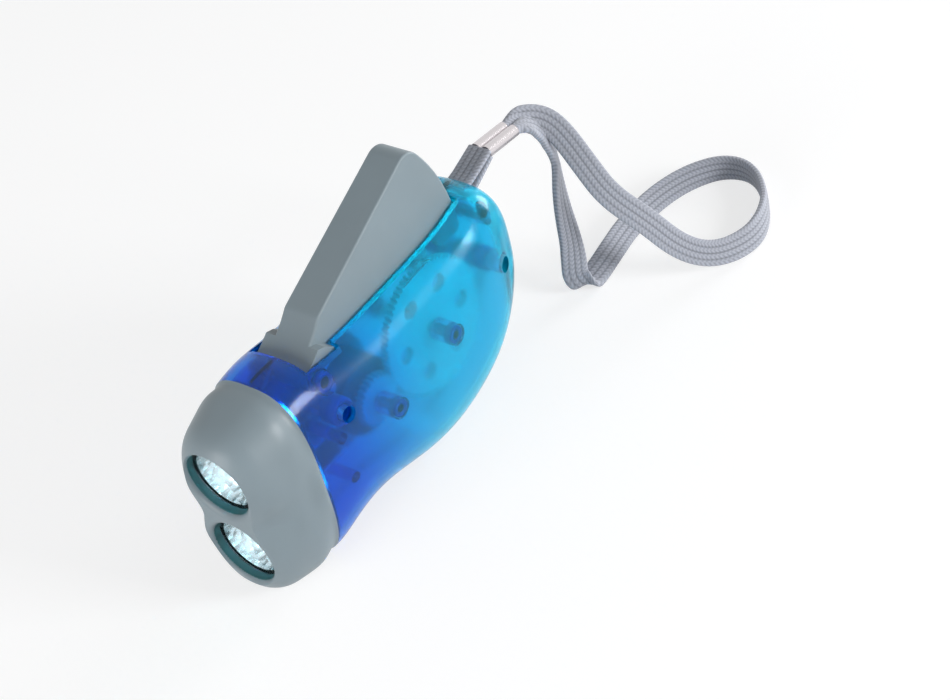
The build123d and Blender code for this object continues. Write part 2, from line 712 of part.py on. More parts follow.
def strap_wire():
    """The strap's route as straight runs joined by arcs that are as large as the runs allow."""
    points = [Vector(x, RIM + y, z) for x, y, z in STRAP_ROUTE]
    radii = []
    for before, here, after in zip(points, points[1:], points[2:]):
        into, out = here - before, after - here
        turn = radians(into.get_angle(out))
        radii.append(0.45 * min(into.length, out.length) / tan(turn / 2))
    with BuildLine(mode=Mode.PRIVATE) as route:
        FilletPolyline(*points, radius=radii)
    print("strap radii", [round(r, 1) for r in radii])
    return route.wires()[0]


route = strap_wire()
with BuildPart() as strap:
    with BuildSketch(Plane(origin=route @ 0, z_dir=route % 0)):
        Circle(STRAP_R)
    sweep(path=route)
strap.part.label = "strap"
export_step(strap.part, "parts/strap.step")
section_area = pi * STRAP_R**2
print(
    "strap length", round(route.length, 1), "volume ratio",
    round(strap.part.volume / (section_area * route.length), 4),
)
print("axles", [round(v, 3) for v in (*AXLE_A, *AXLE_B)], "pivot", PIVOT)
print("ratios", RACK_TEETH / DRIVE_TEETH, RACK_TEETH / DRIVE_TEETH * MAIN_TEETH / ROTOR_TEETH)
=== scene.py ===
"""Looks of a squeeze-lever dynamo flashlight: clear blue case, satin grey head and lever, braided strap.

Lengths are metres unless a name or a comment says millimetres. The torch stands on its finger side, the
lever is on top (+Z), the beam points to -Y and the strap lies behind the torch.
"""

from math import cos, pi, radians, sin

import bmesh
import bpy
from mathutils import Matrix, Vector


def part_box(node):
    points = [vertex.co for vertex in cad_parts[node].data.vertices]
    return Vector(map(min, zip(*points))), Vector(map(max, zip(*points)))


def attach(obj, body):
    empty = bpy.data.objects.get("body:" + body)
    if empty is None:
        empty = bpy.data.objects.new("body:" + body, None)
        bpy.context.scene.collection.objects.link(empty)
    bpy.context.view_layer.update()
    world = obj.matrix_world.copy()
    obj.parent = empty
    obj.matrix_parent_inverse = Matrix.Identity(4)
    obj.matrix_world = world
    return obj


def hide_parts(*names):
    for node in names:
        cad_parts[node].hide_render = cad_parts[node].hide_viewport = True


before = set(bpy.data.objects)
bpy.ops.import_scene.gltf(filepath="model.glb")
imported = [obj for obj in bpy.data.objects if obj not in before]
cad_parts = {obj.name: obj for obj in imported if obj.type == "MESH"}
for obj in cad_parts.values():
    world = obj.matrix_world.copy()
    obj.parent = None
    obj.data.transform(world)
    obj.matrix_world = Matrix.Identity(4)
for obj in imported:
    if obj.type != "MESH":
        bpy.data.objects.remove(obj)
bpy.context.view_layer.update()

bl_info = {
    "name": "Squeeze-lever dynamo flashlight",
    "version": (1, 0, 0),
    "blender": (4, 5, 0),
    "location": "3D View > Sidebar > Flashlight",
    "description": "Finishes, lit lamps, braided strap and stage of a squeeze-lever dynamo flashlight",
    "category": "Mesh",
}

MM = 0.001


def middle(name):
    """Y and Z of the middle of a CAD node, in millimetres."""
    low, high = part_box(name)
    return tuple((low[axis] + high[axis]) / 2 / MM for axis in (1, 2))


# ---------------------------------------------------------------- places, as Y and Z in millimetres
RIM = -33.75  # Y of the case's front rim
AXLES = (middle("main_axle"), middle("rotor_axle"))
PIVOT = middle("lever_pin")
STRAP_PIN = middle("strap_pin")
SCREWS = ((RIM + 13.4, 39.0), (RIM + 77.0, 34.5))
FERRULE_FRONT = (RIM + 94.4, 53.5)
LAMPS = (middle("led_upper")[1], middle("led_lower")[1])  # heights of the two lamps
OPENING = 9.2  # radius of the head's lamp openings
OPENING_BACK = RIM - 10.0  # Y at which the painted shade on the openings' walls ends, towards the back

# Rings in and round the case's bosses, dark blue as painted shade: place, outer radius, inner radius, and
# where they begin and end on either side of the case's middle plane, in millimetres.
RINGS = (
    (AXLES[0], 2.3, 1.15, 13.6, 15.3),
    (AXLES[1], 2.3, 1.15, 13.6, 15.3),
    (SCREWS[0], 3.6, 2.3, 9.2, 13.4),
    (SCREWS[1], 3.2, 2.3, 5.0, 10.0),
    (PIVOT, 2.6, 1.6, 9.6, 11.4),
)
RING_SIDES = 48

# ---------------------------------------------------------------- strap
# The route, as in the part's source: across, behind the case's front rim and above the floor, in
# millimetres, and the direction of the braid's width there.
STRAP_ROUTE = [
    ((1.65, 106.2, 51.9), (1, 0, -0.06)),
    ((1.65, 108.9, 51.53), (0.94, -0.3, -0.17)),
    ((2.5, 112.8, 49), (0.68, -0.7, -0.2)),
    ((3.5, 115.3, 43.3), (0.52, -0.85, -0.03)),
    ((4.7, 115.6, 36.7), (0.6, -0.79, 0.12)),
    ((5.3, 113.5, 29), (0.34, -0.92, 0.17)),
    ((6.1, 112.1, 21.1), (0.1, -0.98, 0.18)),
    ((7.6, 110.8, 12.6), (-0.2, -0.97, 0.15)),
    ((9.3, 108.3, 8.4), (-0.45, -0.88, 0)),
    ((10.7, 105.8, 4.8), (-0.66, -0.74, 0)),
    ((12.5, 108.4, 1.6), (-0.78, -0.62, 0.05)),
    ((12.9, 113.6, 2.7), (-0.85, -0.1, 0.5)),
    ((12.3, 120.5, 3.4), (-0.72, 0, 0.66)),
    ((11, 131, 3.6), (-0.7, 0, 0.7)),
    ((11.7, 144.2, 3.6), (-0.6, 0, 0.75)),
    ((15.6, 155.2, 3.7), (-0.4, 0.2, 0.87)),
    ((22.5, 162.9, 3.7), (-0.1, 0.2, 0.96)),
    ((32, 163.2, 3.7), (0, 0, 1)),
    ((41.7, 153.6, 3.7), (0, 0, 1)),
    ((46, 142.3, 3.7), (-0.3, 0, 0.94)),
    ((43.9, 133.3, 3.8), (-0.45, 0.25, 0.85)),
    ((39.3, 126.8, 5.3), (-0.1, 0.55, 0.83)),
    ((34.1, 122.1, 10.5), (0.14, 0.8, 0.57)),
    ((28.3, 118.3, 20.5), (0.26, 0.85, 0.46)),
    ((20.3, 115.1, 29.1), (0.36, 0.85, 0.37)),
    ((13.9, 116.1, 36.8), (0.47, 0.84, 0.27)),
    ((8.5, 117.3, 42.8), (0.39, 0.85, 0.35)),
    ((4.1, 117.5, 47), (0.1, 0.8, 0.6)),
    ((0.8, 115.4, 49.5), (-0.3, 0.6, 0.74)),
    ((-1.65, 110.2, 51.35), (-0.65, 0.21, 0.73)),
    ((-1.65, 106.2, 51.9), (-0.72, 0.09, 0.69)),
]
SPACING = 0.3 * MM  # between two rings of points along the braid
AROUND = 56  # points in a ring
NECK_LENGTH = 7 * MM  # over which the wrist loop narrows to its round neck
PLAITS = 4
GAP = 0.16  # half the gap between two plaits, as a share of a plait
LEAN = 0.75  # how far stitches lean from a plait's middle to its side, in stitches
FACE_RELIEF = 0.11 * MM  # how far stitches stand out of the two flat sides
EDGE_RELIEF = 0.05 * MM  # and out of the edges

# The small loop, in millimetres: its thickness, the radius of its line round the strap pin, half the
# distance of its two layers at the ferrule, and where each layer bends behind and above the strap pin.
SMALL_LOOP_THICKNESS = 1.5
SMALL_LOOP_RADIUS = 1.95
LAYER_OFFSET = 0.85
UPPER_BEND = (8.0, 3.6)
LOWER_BEND = (8.6, 1.1)
ROUND_PIN = range(100, 281, 12)  # degrees

# ---------------------------------------------------------------- stage
# The photograph's camera: its place, what points right, up and backwards in its picture, and its lens.
CAMERA_PLACE = (0.3471, -0.28535, 0.4068)
CAMERA_RIGHT = (0.788, 0.578, -0.213)
CAMERA_UP = (-0.264, 0.629, 0.732)
CAMERA_BACK = (0.556, -0.521, 0.648)
FOCAL_LENGTH_MM = 89.907
SENSOR_WIDTH_MM = 36.0

# Soft square lights: name, place, edge length and watts.
LIGHTS = (
    ("key", (0.8, 0.25, 0.35), 0.3, 5.5),
    ("front", (-0.1, -0.85, 0.25), 0.5, 4.5),
    ("rear", (0.2, 0.9, 0.2), 0.4, 5.0),
)
FLOOR_REACH = 3.0  # from the middle to an edge
FLOOR_SEEN_WHITE = 0.6  # the rest of the floor stays matte, so it keeps the torch's shadow
FLOOR_GLOW = 1.17
SKY_LOW = 0.46
SKY_HIGH = 0.2

# ---------------------------------------------------------------- finishes
COLOUR_A, COLOUR_B, COLOUR_OUT = 6, 7, 2  # sockets of a Mix node in colour mode

# Plain finishes, and the painted shade of the bosses: name, tint, roughness, metallic and grain in
# millimetres. The comment says what it gives the eye.
PLAIN_FINISHES = (
    ("boss_rings_painted_shade", "#0A3E9C", 0.3, 0.0, 0.4),  # painted shade: the bosses' rings, darker than the clear case they belong to
    ("wire_tinned", "#C8CACC", 0.3, 1.0, 0.4),  # soft silver
    ("laminate_glass_fibre", "#2C5A3C", 0.5, 0.0, 0.8),  # matte green
    ("resin_moulded_black", "#202224", 0.5, 0.0, 0.4),  # matte black
    ("acetal_moulded_white", "#E9E9E4", 0.35, 0.0, 0.4),  # waxy white
    ("steel_drawn_wire", "#9A9CA0", 0.3, 1.0, 0.4),  # darker silver
    ("steel_ground", "#C2C4C8", 0.22, 1.0, 0.4),  # bright silver with tight highlights
    ("ferrite_sintered", "#303134", 0.6, 0.0, 0.2),  # dull charcoal, finely grained
    ("zinc_die_cast", "#A8AAAE", 0.35, 1.0, 0.4),  # mid-grey metal with broad highlights
    ("steel_laminations", "#8C8F94", 0.4, 1.0, 0.4),  # dull dark metal
    ("copper_enamelled_wire", "#C4703A", 0.25, 0.9, 0.4),  # orange metal under varnish
    ("steel_zinc_plated", "#D0D2D6", 0.2, 1.0, 0.4),  # the brightest, coolest silver
    ("brass_nickel_plated", "#D2CDCF", 0.24, 1.0, 0.4),  # bright silver, a little warm
)
FINISH_OF = {
    "polycarbonate_clear_blue": ("shell_near", "shell_far"),
    "abs_moulded_satin": ("head", "lever"),
    "acrylic_clear_moulded": ("lens",),
    "abs_vacuum_metallised": ("reflector_upper", "reflector_lower"),
    "epoxy_cast_lit": ("led_upper", "led_lower"),
    "wire_tinned": ("led_leads",),
    "laminate_glass_fibre": ("circuit_board",),
    "resin_moulded_black": ("board_parts",),
    "acetal_moulded_white": (
        "sector_rack", "drive_pinion", "main_gear", "clutch_pawls", "rotor_gear", "coil_bobbin",
    ),
    "steel_drawn_wire": ("lever_spring",),
    "steel_ground": ("lever_pin", "main_axle", "rotor_axle", "strap_pin"),
    "ferrite_sintered": ("rotor_magnet",),
    "zinc_die_cast": ("flywheel",),
    "steel_laminations": ("stator_core",),
    "copper_enamelled_wire": ("coil",),
    "steel_zinc_plated": ("case_screws",),
    "brass_nickel_plated": ("ferrule",),
}


# ---------------------------------------------------------------- sizes and colours a user may change
def srgb(text):
    """The three sRGB values, 0 to 1, of a hex colour."""
    return tuple(int(text[i : i + 2], 16) / 255 for i in (1, 3, 5))


def linear(value):
    """A hex colour, or three sRGB values, as the linear RGBA that a shader takes."""
    parts = srgb(value) if isinstance(value, str) else value
    return (*(c / 12.92 if c <= 0.04045 else ((c + 0.055) / 1.055) ** 2.4 for c in parts), 1.0)


def shaded(base, share):
    """A linear colour made darker or lighter by that share."""
    return (*(min(1, c * share) for c in base[:3]), 1)


def colour(description, default):
    """A colour property that holds sRGB values."""
    return bpy.props.FloatVectorProperty(
        name=description, description=description, subtype="COLOR_GAMMA", size=3, min=0, max=1,
        default=srgb(default),
    )


def length(name, description, default_mm):
    """A length property in metres, given in millimetres."""
    return bpy.props.FloatProperty(
        name=name, description=description, default=default_mm * MM, min=0, unit="LENGTH", precision=5
    )


class FlashlightFinish(bpy.types.PropertyGroup):
    case_tint: colour("Case tint", "#00D6F6")
    # Painted shade: the case's blue deepened towards the front, where darker parts lie behind it.
    case_front_shade: colour("Case tint at the front", "#0084F0")
    plastic: colour("Head and lever plastic", "#7A888F")
    # Painted shade, tinted by the lamps' cyan light, on the lamp openings' walls, which are the head's grey
    # plastic.
    recess_shade: colour("Lamp recess walls", "#2F5F63")
    yarn: colour("Strap yarn", "#A4A8B3")
    lamp_glow: colour("Lamp light", "#BFF6FF")


class FlashlightStrap(bpy.types.PropertyGroup):
    width: length("Width", "Width of the flat braid", 7.0)
    thickness: length("Thickness", "Thickness of the flat braid", 1.9)
    stitch: length("Stitch", "Length of one stitch along the braid", 1.15)
    neck: length("Neck", "Diameter of the braid where it enters a barrel", 2.9)


# ---------------------------------------------------------------- helpers
def node(material, kind, inputs=None, **settings):
    """Adds a shader node with its settings; an input is a value or another node's output socket."""
    made = material.node_tree.nodes.new(kind)
    for name, value in settings.items():
        setattr(made, name, value)
    for socket, value in (inputs or {}).items():
        if isinstance(value, bpy.types.NodeSocket):
            material.node_tree.links.new(value, made.inputs[socket])
        else:
            made.inputs[socket].default_value = value
    return made


def new_material(name):
    """An empty node material and its Object coordinates."""
    material = bpy.data.materials.new(name)
    material.use_nodes = True
    material.node_tree.nodes.clear()
    place = node(material, "ShaderNodeTexCoord")
    return material, place.outputs["Object"]


def finish_with(material, shader):
    """Ends a material with the shader's surface."""
    node(material, "ShaderNodeOutputMaterial", {"Surface": shader.outputs[0]})


def coat(name, *nodes):
    """Gives CAD nodes, or pieces, that material alone."""
    for item in nodes:
        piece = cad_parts[item] if isinstance(item, str) else item
        piece.data.materials.clear()
        piece.data.materials.append(bpy.data.materials[name])


def piece_from(shape, name, body, slot, *stands_for):
    """A new piece from a bmesh, riding on a body."""
    mesh = bpy.data.meshes.new(name)
    shape.to_mesh(mesh)
    shape.free()
    piece = bpy.data.objects.new(name, mesh)
    bpy.context.scene.collection.objects.link(piece)
    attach(piece, body)
    if stands_for:
        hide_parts(*stands_for)
    return piece


# ---------------------------------------------------------------- materials
def make_moulded_abs(name, tint):
    """ABS moulded in a spark-eroded tool: even satin, with a very fine grain and faint flow shading."""
    material, place = new_material(name)
    flow_width = 14 * MM
    grain_width = 0.25 * MM
    base = linear(tuple(tint))
    flow = node(material, "ShaderNodeTexNoise", {"Vector": place, "Scale": 1 / flow_width, "Detail": 2.0})
    tone = node(
        material,
        "ShaderNodeMix",
        {"Factor": flow.outputs["Fac"], COLOUR_A: shaded(base, 0.93), COLOUR_B: shaded(base, 1.07)},
        data_type="RGBA",
    )
    grain = node(material, "ShaderNodeTexNoise", {"Vector": place, "Scale": 1 / grain_width, "Detail": 2.0})
    bump = node(
        material,
        "ShaderNodeBump",
        {"Height": grain.outputs["Fac"], "Strength": 0.12, "Distance": 0.05 * MM},
    )
    shader = node(
        material,
        "ShaderNodeBsdfPrincipled",
        {"Base Color": tone.outputs[COLOUR_OUT], "Roughness": 0.42, "IOR": 1.5, "Normal": bump.outputs[0]},
    )
    finish_with(material, shader)


def make_clear_blue(finish):
    """Polycarbonate moulded in a polished tool: glossy and tinted right through, so light shows inside it.

    Its IOR, below the plastic's real 1.58, and its roughness are matched to the photograph. The deeper blue
    at the front is painted shade, a gradient along Y. On the real torch the tint is even and the shade comes
    from what lies behind.
    """
    material, place = new_material("polycarbonate_clear_blue")
    # Y of the full painted shade at the front, and of none further back.
    full_shade_y, no_shade_y = -30 * MM, 14 * MM
    parts = node(material, "ShaderNodeSeparateXYZ", {"Vector": place})
    along = node(
        material,
        "ShaderNodeMapRange",
        {"Value": parts.outputs["Y"], "From Min": full_shade_y, "From Max": no_shade_y},
        interpolation_type="SMOOTHSTEP",
    )
    tint = node(
        material,
        "ShaderNodeMix",
        {
            "Factor": along.outputs[0], COLOUR_A: linear(tuple(finish.case_front_shade)),
            COLOUR_B: linear(tuple(finish.case_tint)),
        },
        data_type="RGBA",
    )
    shader = node(
        material,
        "ShaderNodeBsdfPrincipled",
        {
            "Base Color": tint.outputs[COLOUR_OUT], "Roughness": 0.2, "IOR": 1.3,
            "Transmission Weight": 0.88, "Specular IOR Level": 0.1, "Coat Weight": 0.15,
            "Coat Roughness": 0.03, "Coat IOR": 1.4,
        },
    )
    finish_with(material, shader)


def make_plain(name, tint, roughness, metallic=0.0, grain_mm=0.4, bump=0.1, transmission=0.0):
    """One tint with a fine grain in its roughness and its surface."""
    material, place = new_material(name)
    grain = node(
        material,
        "ShaderNodeTexNoise",
        {"Vector": place, "Scale": 1 / (grain_mm * MM), "Detail": 3.0},
    )
    rough = node(
        material,
        "ShaderNodeMapRange",
        {"Value": grain.outputs["Fac"], "To Min": roughness * 0.85, "To Max": roughness * 1.15},
    )
    ridge = node(
        material,
        "ShaderNodeBump",
        {"Height": grain.outputs["Fac"], "Strength": bump, "Distance": 0.03 * MM},
    )
    shader = node(
        material,
        "ShaderNodeBsdfPrincipled",
        {
            "Base Color": linear(tint), "Metallic": metallic, "Roughness": rough.outputs[0],
            "Normal": ridge.outputs[0], "Transmission Weight": transmission,
        },
    )
    finish_with(material, shader)


def make_faceted_silver():
    """Aluminium vacuum-metallised on ABS moulded with small facets: mirror-like, broken into sparkles."""
    material, place = new_material("abs_vacuum_metallised")
    facet = 2.2 * MM
    cells = node(material, "ShaderNodeTexVoronoi", {"Vector": place, "Scale": 1 / facet})
    bump = node(
        material,
        "ShaderNodeBump",
        {"Height": cells.outputs["Distance"], "Strength": 0.9, "Distance": 0.5 * MM},
    )
    shader = node(
        material,
        "ShaderNodeBsdfPrincipled",
        {"Base Color": linear("#E6F2F4"), "Metallic": 1.0, "Roughness": 0.16, "Normal": bump.outputs[0]},
    )
    finish_with(material, shader)


def make_lamp_light(finish):
    """A lit white light-emitting diode: clear cast epoxy that glows a cold white."""
    material, _ = new_material("epoxy_cast_lit")
    shader = node(
        material,
        "ShaderNodeBsdfPrincipled",
        {
            "Base Color": linear("#E8FBFF"), "Roughness": 0.05, "Transmission Weight": 0.6,
            "Emission Color": linear(tuple(finish.lamp_glow)), "Emission Strength": 4.0,
        },
    )
    finish_with(material, shader)


def make_braid(finish):
    """Polyester yarn, flat braided: soft, slightly shiny yarns, with painted shade in the gaps between the
    plaits.

    The relief_shade attribute is 0 in a gap and 1 on top of a stitch: the yarn is painted darker towards 0
    as shade and lighter towards 1 as painted light. The fibres are drawn coarser than real.
    """
    material, _ = new_material("polyester_flat_braid")
    fibre_width = 0.18 * MM
    base = linear(tuple(finish.yarn))
    depth = node(material, "ShaderNodeAttribute", attribute_name="relief_shade")
    shade = node(
        material,
        "ShaderNodeMix",
        {"Factor": depth.outputs["Fac"], COLOUR_A: shaded(base, 0.45), COLOUR_B: shaded(base, 1.15)},
        data_type="RGBA",
    )
    spot = node(material, "ShaderNodeUVMap", uv_map="braid")
    fibre = node(
        material,
        "ShaderNodeTexNoise",
        {"Vector": spot.outputs[0], "Scale": 1 / fibre_width, "Detail": 2.0},
    )
    bump = node(
        material,
        "ShaderNodeBump",
        {"Height": fibre.outputs["Fac"], "Strength": 0.35, "Distance": 0.08 * MM},
    )
    shader = node(
        material,
        "ShaderNodeBsdfPrincipled",
        {
            "Base Color": shade.outputs[COLOUR_OUT], "Roughness": 0.75, "Sheen Weight": 0.35,
            "Sheen Roughness": 0.4, "Normal": bump.outputs[0],
        },
    )
    finish_with(material, shader)


# ---------------------------------------------------------------- camera, floor and light
def seen_white(owner, share=1.0):
    """That share where the camera, a glossy finish or clear plastic shows the floor or backdrop, else 0."""
    sight = node(owner, "ShaderNodeLightPath")
    seen = sight.outputs["Is Camera Ray"]
    for ray in ("Is Glossy Ray", "Is Transmission Ray"):
        either = node(owner, "ShaderNodeMath", {0: seen, 1: sight.outputs[ray]}, operation="MAXIMUM")
        seen = either.outputs[0]
    return node(owner, "ShaderNodeMath", {0: seen, 1: share}, operation="MULTIPLY").outputs[0]


def set_camera(scene):
    """Puts the camera where the photograph was taken from."""
    lens = bpy.data.cameras.new("camera")
    lens.lens = FOCAL_LENGTH_MM
    lens.sensor_width = SENSOR_WIDTH_MM
    camera = bpy.data.objects.new("camera", lens)
    camera.rotation_mode = "QUATERNION"
    axes = Matrix((CAMERA_RIGHT, CAMERA_UP, CAMERA_BACK))
    camera.rotation_quaternion = axes.transposed().to_quaternion()
    camera.location = CAMERA_PLACE
    scene.collection.objects.link(camera)
    scene.camera = camera


def lay_floor(scene):
    """A white floor that looks lit by itself but still takes the torch's shadow."""
    shape = bmesh.new()
    bmesh.ops.create_grid(shape, x_segments=1, y_segments=1, size=FLOOR_REACH)
    mesh = bpy.data.meshes.new("floor")
    shape.to_mesh(mesh)
    shape.free()
    floor = bpy.data.objects.new("floor", mesh)
    scene.collection.objects.link(floor)
    paper, _ = new_material("white_paper_sweep")
    seen = seen_white(paper, FLOOR_SEEN_WHITE)
    matte = node(paper, "ShaderNodeBsdfDiffuse", {"Color": linear("#F0F1F2")})
    bright = node(paper, "ShaderNodeEmission", {"Color": (1, 1, 1, 1), "Strength": FLOOR_GLOW})
    both = node(paper, "ShaderNodeMixShader", {"Fac": seen, 1: matte.outputs[0], 2: bright.outputs[0]})
    finish_with(paper, both)
    mesh.materials.append(paper)


def hang_backdrop(scene):
    """A backdrop that is seen white and lights the torch with a dim sky, darker towards the top."""
    world = bpy.data.worlds.new("studio")
    world.use_nodes = True
    scene.world = world
    seen = seen_white(world)
    heading = node(world, "ShaderNodeTexCoord")
    upward = node(world, "ShaderNodeSeparateXYZ", {"Vector": heading.outputs["Generated"]})
    sky = node(
        world,
        "ShaderNodeMapRange",
        {"Value": upward.outputs["Z"], "To Min": SKY_LOW, "To Max": SKY_HIGH},
    )
    strength = node(
        world,
        "ShaderNodeMapRange",
        {"Value": seen, "To Min": sky.outputs[0], "To Max": 1.0},
    )
    backdrop = world.node_tree.nodes["Background"]
    backdrop.inputs["Color"].default_value = (1, 1, 1, 1)
    world.node_tree.links.new(strength.outputs[0], backdrop.inputs["Strength"])


def hang_light(scene, name, place, size, power):
    """A soft square light that faces the torch."""
    light = bpy.data.lights.new(name, "AREA")
    light.size = size
    light.energy = power
    lamp = bpy.data.objects.new(name, light)
    lamp.location = place
    lamp.rotation_mode = "QUATERNION"
    lamp.rotation_quaternion = Vector(place).to_track_quat("Z", "Y")
    scene.collection.objects.link(lamp)


# ---------------------------------------------------------------- braid
def route_line():
    """The strap's line, drawn along the route by a NURBS spline."""
    curve = bpy.data.curves.new("strap_line", "CURVE")
    curve.dimensions = "3D"
    curve.resolution_u = 60
    spline = curve.splines.new("NURBS")
    spline.points.add(len(STRAP_ROUTE) - 1)
    for point, ((x, behind, z), _) in zip(spline.points, STRAP_ROUTE):
        point.co = (x * MM, (RIM + behind) * MM, z * MM, 1.0)
    spline.order_u = 3
    spline.use_endpoint_u = True
    holder = bpy.data.objects.new("strap_line", curve)
    mesh = bpy.data.meshes.new_from_object(holder)
    points = [v.co.copy() for v in mesh.vertices]
    bpy.data.objects.remove(holder)
    bpy.data.meshes.remove(mesh)
    return points


def route_widths(count):
    """The braid's width direction at that many points of the line, blended between the route's points."""
    last = len(STRAP_ROUTE) - 1
    # How far along the spline each point of the route pulls most, counted in the spline's spans.
    stations = [0.0] + [k - 0.5 for k in range(1, last)] + [last - 1.0]
    widths = []
    for index in range(count):
        u = index / (count - 1) * (last - 1)
        k = max(i for i in range(last) if stations[i] <= u + 1e-9)
        t = (u - stations[k]) / (stations[k + 1] - stations[k])
        t = min(1.0, max(0.0, t))
        widths.append(Vector(STRAP_ROUTE[k][1]).lerp(Vector(STRAP_ROUTE[k + 1][1]), t).normalized())
    return widths


def small_loop_line():
    """From the ferrule's front face, round the strap pin and back, in one upright plane."""
    (pin_y, pin_z), (y, z) = STRAP_PIN, FERRULE_FRONT
    line = [(y, z + LAYER_OFFSET), (pin_y + UPPER_BEND[0], pin_z + UPPER_BEND[1])]
    for angle in ROUND_PIN:
        turn = radians(angle)
        line.append((pin_y + SMALL_LOOP_RADIUS * cos(turn), pin_z + SMALL_LOOP_RADIUS * sin(turn)))
    line += [(pin_y + LOWER_BEND[0], pin_z + LOWER_BEND[1]), (y, z - LAYER_OFFSET)]
    return [Vector((0, *place)) * MM for place in line]


def spaced(points, widths):
    """The same line with points an even step apart, the width direction at each, and its length."""
    lengths = [0.0]
    for a, b in zip(points, points[1:]):
        lengths.append(lengths[-1] + (b - a).length)
    count = int(lengths[-1] / SPACING)
    placed, turned, k = [], [], 0
    for index in range(count + 1):
        target = lengths[-1] * index / count
        while k < len(points) - 2 and lengths[k + 1] < target:
            k += 1
        t = (target - lengths[k]) / (lengths[k + 1] - lengths[k])
        placed.append(points[k].lerp(points[k + 1], t))
        turned.append(widths[k].lerp(widths[k + 1], t).normalized())
    return placed, turned, lengths[-1]


def braid_section(across, along, flat, size, thickness):
    """Place on the braid's skin: across the width, through the thickness, and the relief_shade that the
    finish paints as shade and light.

    across is the share of the way round, flat is 0 at the round neck and 1 where the braid is flat.
    """
    turn = 2 * pi * across
    wide, thick = cos(turn), sin(turn)
    reach = (abs(wide) ** 4 + abs(thick) ** 4) ** -0.25  # stretches a circle to a rounded square
    square_w, square_t = wide * reach, thick * reach
    half_w = size.neck / 2 + (size.width / 2 - size.neck / 2) * flat
    half_t = size.neck / 2 + (thickness / 2 - size.neck / 2) * flat
    w = half_w * (square_w * flat + wide * (1 - flat))
    t = half_t * (square_t * flat + thick * (1 - flat))
    plait = (w / size.width + 0.5) * PLAITS
    lean = abs(plait % 1.0 - 0.5) * 2
    groove = 0.0
    if 0.5 < plait < PLAITS - 0.5:
        groove = max(0.0, 1 - min(plait % 1.0, 1 - plait % 1.0) / GAP)
    stitch = 0.5 + 0.5 * cos(2 * pi * (along / size.stitch + LEAN * lean))
    proud = 0.75 * stitch - 0.9 * groove * flat
    t += (1 if t > 0 else -1) * min(1.0, abs(square_t)) * FACE_RELIEF * proud
    w += square_w * EDGE_RELIEF * stitch
    # The third value is 0 in a gap and 1 on a stitch's top: painted shade and painted light in the finish.
    return w, t, max(0.0, min(1.0, 0.35 + 0.65 * stitch - 0.8 * groove * flat))


def braid_rings(shape, points, widths, total, size, thickness, neck_length):
    """Adds the rings of points round the braid's line; each comes with how far along the braid it stands."""
    relief_shade = shape.verts.layers.float["relief_shade"]
    rings = []
    for index, (point, width) in enumerate(zip(points, widths)):
        ahead = points[min(index + 1, len(points) - 1)] - points[max(index - 1, 0)]
        ahead.normalize()
        side = (width - ahead * width.dot(ahead)).normalized()
        normal = ahead.cross(side)
        along = total * index / (len(points) - 1)
        flat = min(1.0, along / neck_length, (total - along) / neck_length) if neck_length else 1.0
        flat = flat * flat * (3 - 2 * flat)
        ring = []
        for turn in range(AROUND):
            w, t, height = braid_section(turn / AROUND, along, flat, size, thickness)
            vert = shape.verts.new(point + side * w + normal * t)
            vert[relief_shade] = height
            ring.append(vert)
        rings.append((ring, along))
    return rings


def make_braid_piece(name, line, size, thickness, neck_length, stands_for):
    """A flat braid along a spaced line, drawn in to a round neck at either end if it has a neck length."""
    shape = bmesh.new()
    shape.verts.layers.float.new("relief_shade")
    uv = shape.loops.layers.uv.new("braid")
    rings = braid_rings(shape, *line, size, thickness, neck_length)
    for (one, start), (two, end) in zip(rings, rings[1:]):
        for turn in range(AROUND):
            after = (turn + 1) % AROUND
            face = shape.faces.new((one[turn], one[after], two[after], two[turn]))
            face.smooth = True
            corners = ((turn, start), (turn + 1, start), (turn + 1, end), (turn, end))
            for loop, (step, along) in zip(face.loops, corners):
                loop[uv].uv = (2 * size.width * step / AROUND, along)
    shape.faces.new(reversed(rings[0][0]))
    shape.faces.new(rings[-1][0])
    bmesh.ops.recalc_face_normals(shape, faces=shape.faces)
    return piece_from(shape, name, "torch", "grey_braid", stands_for)


# ---------------------------------------------------------------- torch
def paint_shade_in_lamp_openings():
    """Paints shade on the walls of the head's two lamp openings: they take the dark teal material in place
    of the grey.
    """
    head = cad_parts["head"].data
    head.materials.append(bpy.data.materials["abs_recess_painted_shade"])
    tolerance = 0.1
    for face in head.polygons:
        x, y, z = face.center / MM
        reach = min((x * x + (z - lamp) ** 2) ** 0.5 for lamp in LAMPS)
        if reach < OPENING + tolerance and y < OPENING_BACK:
            face.material_index = 1


def add_ring(shape, place, outer, inner, low, high):
    """Adds a ring round a line along X, by spinning its section, all in millimetres."""
    corners = []
    for radius, x in ((outer, low), (outer, high), (inner, high), (inner, low)):
        corners.append(shape.verts.new(Vector((x, place[0] + radius, place[1])) * MM))
    edges = [shape.edges.new(pair) for pair in zip(corners, corners[1:] + corners[:1])]
    bmesh.ops.spin(
        shape, geom=corners + edges, cent=Vector((0, *place)) * MM, axis=(1, 0, 0), angle=2 * pi,
        steps=RING_SIDES, use_merge=True,
    )


